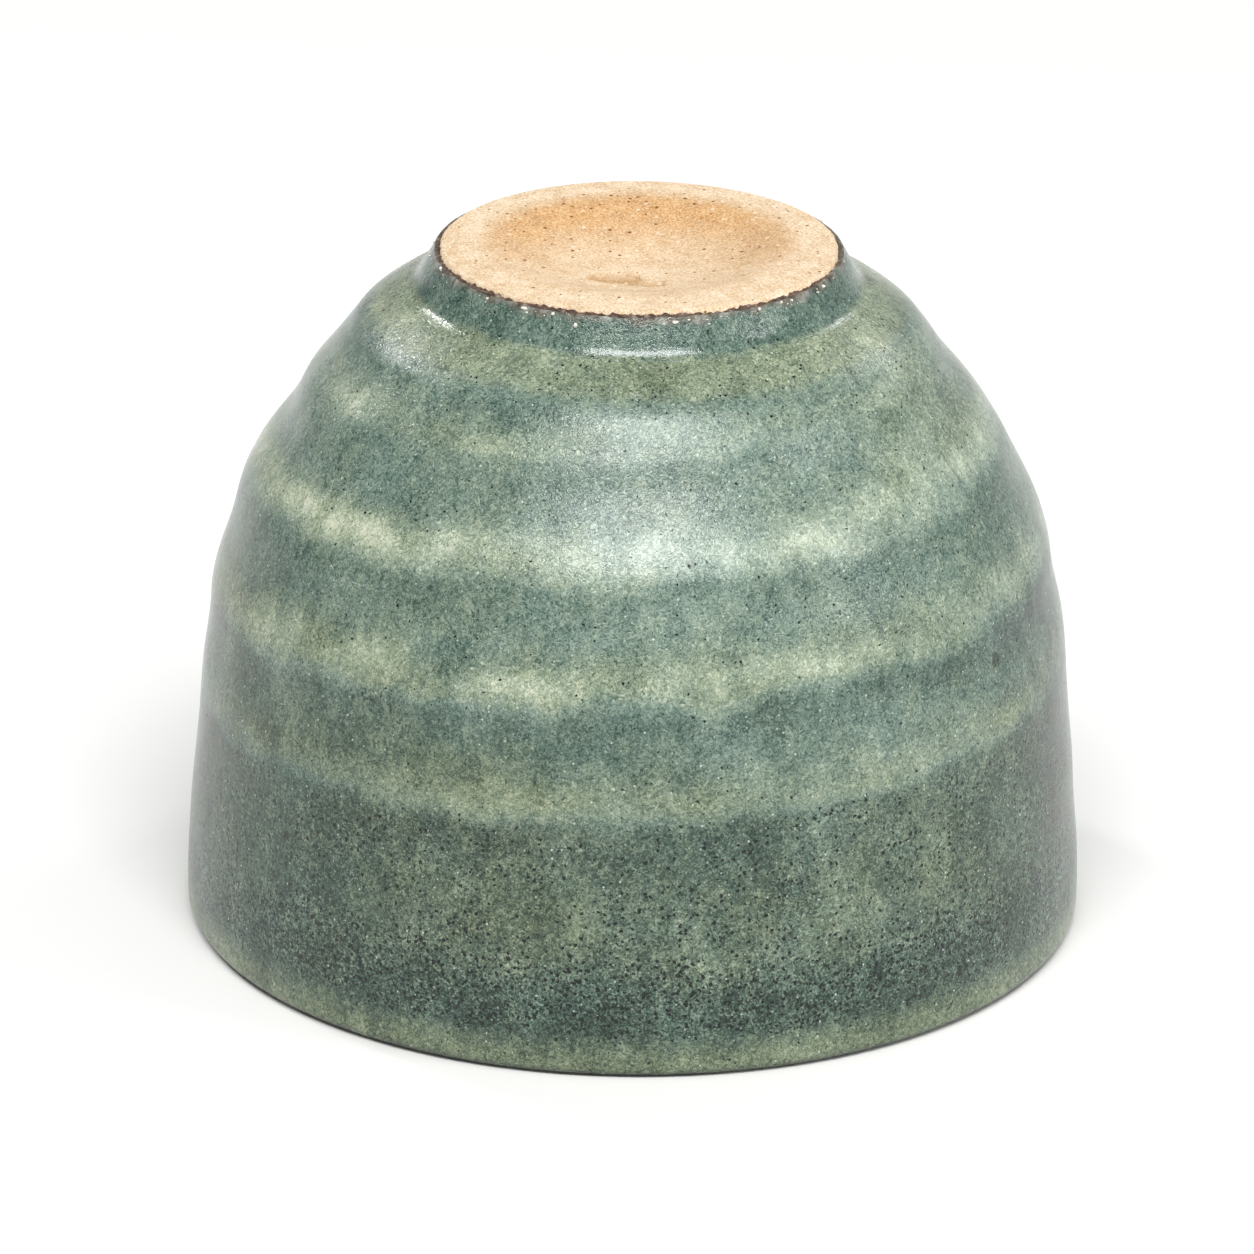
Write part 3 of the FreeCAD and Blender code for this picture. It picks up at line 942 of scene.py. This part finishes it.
# %% Its colour by thickness, painted light and ash
drift_gain = 0.5
mottle_gain = 0.5
worm_gain = 1.2
worm_least = 0.35
fibre_gain = 1.6
deepest = -0.4
barest = 1.2
ash_drift_gain = 0.9


def add_noise(level, noise_value, gain):
    """The level raised and lowered by a noise of this gain, with the same mean."""
    return maths("MULTIPLY_ADD", maths("SUBTRACT", noise_value, 0.5), gain, level)


level = add_noise(thinness_and_light, drift.outputs["Fac"], drift_gain)
level = add_noise(level, mottle, mottle_gain)
worm_strength = maths("MULTIPLY_ADD", pits, worm_gain, worm_least)
level = add_noise(level, worms, worm_strength)
level = add_noise(level, fibre, fibre_gain)
level = ranged(level, deepest, barest)
glassy = shades(level, [(0.00, "131f1b"), (0.25, "3a5148"), (0.40, "5c7066"), (0.56, "77897d"),
                        (0.72, "92a295"), (0.87, "adb9ac"), (1.00, "c0cabf")])
ashy = shades(level, [(0.00, "161c12"), (0.25, "3a4636"), (0.40, "5b6751"), (0.56, "7a866d"),
                      (0.72, "98a288"), (0.87, "b5bca4"), (1.00, "cacdb8")])
tint_share = add_noise(tint_level, mottle, ash_drift_gain)
tint_share = node(tree, "Clamp", {"Value": tint_share}).outputs[0]
tinted = blend(tint_share, glassy, ashy)

# %% Its pores and its pale crystals
pore_raggedness = 0.6
least_pore = 0.14
largest_pore = 0.37
pore_slope = 0.07
crystal_edge = 0.16
crystal_heart = 0.08
strongest_crystal = 0.85

pore_cells = node(tree, "TexVoronoi", {"Vector": place, "Scale": 1 / pore_spacing, "Randomness": 1})
pore_pick = node(tree, "SeparateColor", {"Color": pore_cells.outputs["Color"]}).outputs[0]
pore_here = maths("SUBTRACT", pits, pore_pick)
pore_size = ranged(pore_here, 0, 0.3, least_pore, largest_pore)
pore_reach = add_noise(pore_cells.outputs["Distance"], fibre, pore_raggedness)
pore_edge = maths("SUBTRACT", pore_size, pore_reach)
any_pore = maths("GREATER_THAN", pore_here, 0)
pore = maths("MULTIPLY", ranged(pore_edge, 0, pore_slope), any_pore)
crystal_cells = node(tree, "TexVoronoi", {"Vector": place, "Scale": 1 / crystal_spacing})
crystal = ranged(crystal_cells.outputs["Distance"], crystal_edge, crystal_heart)
crystal_pick = node(tree, "SeparateColor", {"Color": crystal_cells.outputs["Color"]}).outputs[1]
crystal_share = ranged(crystal_pick, 0.35, 1.0, 0, strongest_crystal)
crystal = maths("MULTIPLY", crystal, crystal_share)
speckled = blend(crystal, tinted, colour("d0d7cc"))
pitted = blend(pore, speckled, colour("0c1411"))
burnt = shades(mottle, [(0.35, "3d362d"), (0.5, "6a6459"), (0.65, "8d8f88")])
glaze_colour = blend(burn, pitted, burnt)

# %% Its surface
satin_roughness = 0.15
wet_roughness = 0.08
wet_ripple = 0.3
skin_relief = 0.04 * MM

surface = maths("MULTIPLY_ADD", worms, 0.7, fibre)
surface = maths("SUBTRACT", surface, pore)
ripple = ranged(wetness, 0, 1, 1.0, wet_ripple)
bump = node(tree, "Bump", {"Height": surface, "Strength": ripple, "Distance": skin_relief})
satin = ranged(wetness, 0, 1, satin_roughness, wet_roughness)
gloss = node(tree, "BsdfPrincipled", {"Base Color": glaze_colour, "Roughness": satin, "IOR": 1.45,
                                      "Normal": bump.outputs[0]})
node(tree, "OutputMaterial", {"Surface": gloss.outputs[0]})
for piece in (outer_glaze, lip_glaze, inner_glaze):
    piece.data.materials.append(ash_glaze)
print(ash_glaze.name, len(tree.nodes), "nodes")

# %% [markdown]
# ## The bare clay
# Buff stoneware clay is matt, with grains of fired clay, called grog, and specks of iron. The flame
# toasted the well on the side where the glaze did not shield it. A tan spot on the right of the well
# and the darker floors of the flakes are painted shade. Fired clay has no gloss at all, so its
# roughness is near one.

# %% The clay's material
grog_spacing = 0.8 * MM
speck_spacing = 0.7 * MM
sand_size = 0.17 * MM
cloud_size = 1.6 * MM
flake_shade_gain = 1.1

buff_clay, tree = new_material("buff_stoneware")
place = node(tree, "TexCoord").outputs["Object"]
toast = painted("toast")
tint_and_light = painted("well_shade")
flake_shade = painted("flake_shade")
sand = node(tree, "TexNoise", {"Vector": place, "Scale": 1 / sand_size, "Detail": 3,
                               "Roughness": 0.65}).outputs["Fac"]
cloud = node(tree, "TexNoise", {"Vector": place, "Scale": 1 / cloud_size, "Detail": 4,
                                "Roughness": 0.6}).outputs["Fac"]
sand = add_noise(sand, cloud, 0.4)
cream = shades(sand, [(0.33, "bb9c79"), (0.5, "d5bd9d"), (0.67, "e6d7c1")])
toasted = shades(sand, [(0.33, "a2723f"), (0.5, "c2996a"), (0.67, "d9b98e")])
tan = shades(sand, [(0.33, "a2835f"), (0.5, "bda180"), (0.67, "d2bc9d")])
cloudy = maths("MULTIPLY_ADD", cloud, 1.6, 0.2)
toast_share = maths("MULTIPLY", toast, cloudy, clamp=True)
# Painted shade: the tan spot on the right of the well.
tint_share = maths("MULTIPLY", tint_and_light, cloudy, clamp=True)
flushed_and_shaded = blend(toast_share, cream, toasted)
flushed_and_shaded = blend(tint_share, flushed_and_shaded, tan)
# Painted shade: the flakes darker the deeper they lie.
flake_shade_share = maths("MULTIPLY", flake_shade, flake_shade_gain, clamp=True)
flake_shaded = blend(flake_shade_share, flushed_and_shaded, colour("a57c4a"))

# %% Its grog and iron specks
grog_strength = 0.6
largest_speck = 0.23

grog_cells = node(tree, "TexVoronoi", {"Vector": place, "Scale": 1 / grog_spacing})
grog = ranged(grog_cells.outputs["Distance"], 0.24, 0.16)
grog_pick = node(tree, "SeparateColor", {"Color": grog_cells.outputs["Color"]}).outputs[0]
grog = maths("MULTIPLY", maths("MULTIPLY", grog, grog_pick), grog_strength)
speck_cells = node(tree, "TexVoronoi", {"Vector": place, "Scale": 1 / speck_spacing})
speck_pick = node(tree, "SeparateColor", {"Color": speck_cells.outputs["Color"]}).outputs[0]
speck_pick = maths("MULTIPLY_ADD", toast, 0.15, speck_pick)
speck_size = ranged(speck_pick, 0.44, 0.98, 0, largest_speck)
speck_edge = maths("SUBTRACT", speck_size, speck_cells.outputs["Distance"])
speck = ranged(speck_edge, 0, 0.04)
grogged = blend(grog, flake_shaded, colour("eadcc8"))
clay_colour = blend(speck, grogged, colour("7f5330"))
bump = node(tree, "Bump", {"Height": sand, "Strength": 0.5, "Distance": 0.06 * MM})
matt = node(tree, "BsdfPrincipled", {"Base Color": clay_colour, "Roughness": 0.95, "IOR": 1.45,
                                     "Specular IOR Level": 0.2, "Normal": bump.outputs[0]})
node(tree, "OutputMaterial", {"Surface": matt.outputs[0]})
clay_body.data.materials.append(buff_clay)
print(buff_clay.name, len(tree.nodes), "nodes")

# %% [markdown]
# ## The burnt line and the grit
# The line is nearly black brown where iron gathered and grey brown where a little glass covers it.
# The grit is quartz, which stays white in the kiln, under a skin of clear glaze.

# %% Their materials
crust_size = 0.5 * MM
veil_size = 0.3 * MM

iron_glaze, tree = new_material("burnt_iron_glaze")
place = node(tree, "TexCoord").outputs["Object"]
crust = node(tree, "TexNoise", {"Vector": place, "Scale": 1 / crust_size,
                                "Detail": 3}).outputs["Fac"]
brown = shades(crust, [(0.35, "33231a"), (0.55, "573f30"), (0.72, "8d8074")])
bump = node(tree, "Bump", {"Height": crust, "Strength": 0.6, "Distance": 0.08 * MM})
rough = node(tree, "BsdfPrincipled", {"Base Color": brown, "Roughness": 0.5, "IOR": 1.5,
                                      "Normal": bump.outputs[0]})
node(tree, "OutputMaterial", {"Surface": rough.outputs[0]})
edge_line.data.materials.append(iron_glaze)
print(iron_glaze.name, len(tree.nodes), "nodes")

quartz_grit, tree = new_material("glazed_quartz_grit")
place = node(tree, "TexCoord").outputs["Object"]
veil = node(tree, "TexNoise", {"Vector": place, "Scale": 1 / veil_size}).outputs["Fac"]
milky = shades(veil, [(0.35, "b5ab9c"), (0.65, "efece4")])
glassy = node(tree, "BsdfPrincipled", {"Base Color": milky, "Roughness": 0.18, "IOR": 1.5})
node(tree, "OutputMaterial", {"Surface": glassy.outputs[0]})
grit_data.materials.append(quartz_grit)
print(quartz_grit.name, len(tree.nodes), "nodes")
